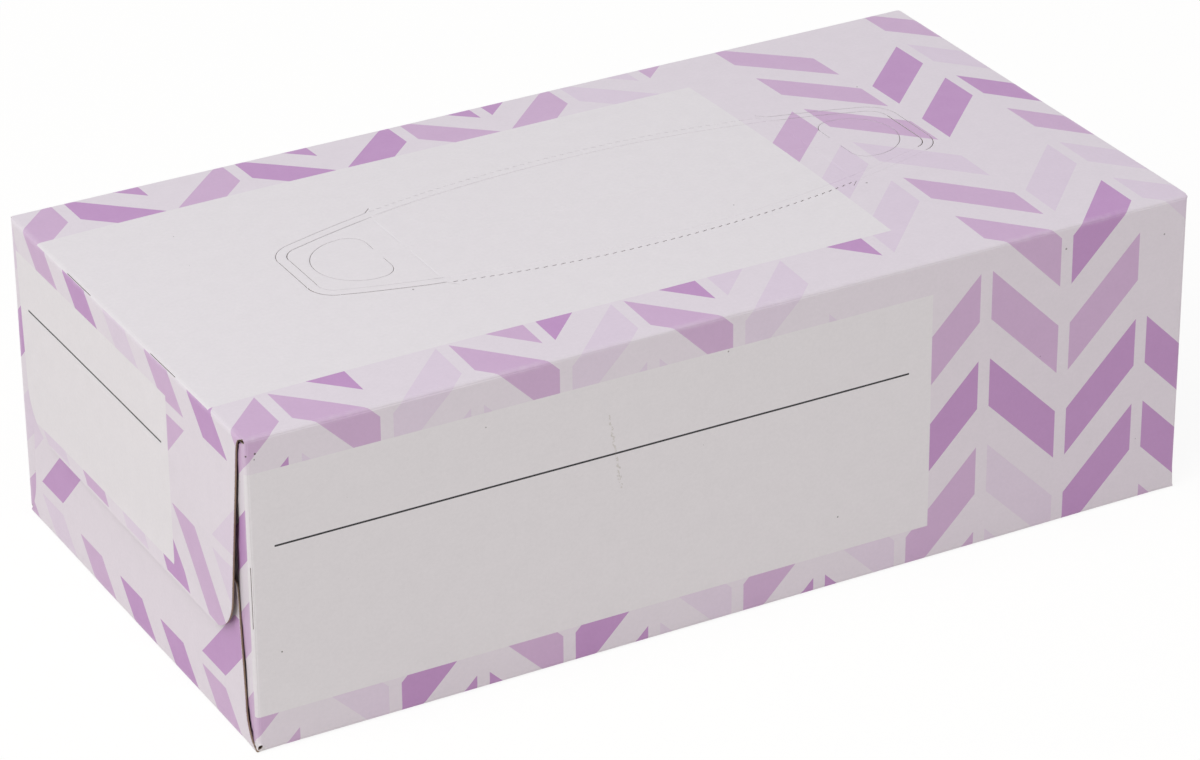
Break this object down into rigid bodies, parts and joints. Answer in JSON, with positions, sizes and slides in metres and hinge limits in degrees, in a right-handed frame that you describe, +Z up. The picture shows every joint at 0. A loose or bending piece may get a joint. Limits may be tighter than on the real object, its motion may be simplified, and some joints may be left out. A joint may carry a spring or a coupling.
{
  "type": "tissue box",
  "caption": "Sealed rectangular cartonboard tissue box with lapped end flaps and a perforated tear-out panel with thumb tabs in its top.",
  "frame": {"origin": "middle of the base, on the surface that the box stands on", "axes": "+X along the length, +Y from the front panel to the back panel, +Z up through the tear-out panel"},
  "size_m": [0.217, 0.113, 0.069],
  "materials": {
    "printed_board": "white-lined cartonboard, offset printed in lilac and purple under a thin satin varnish"
  },
  "bodies": {
    "root": {"carton": "printed_board"}
  },
  "joints": []
}
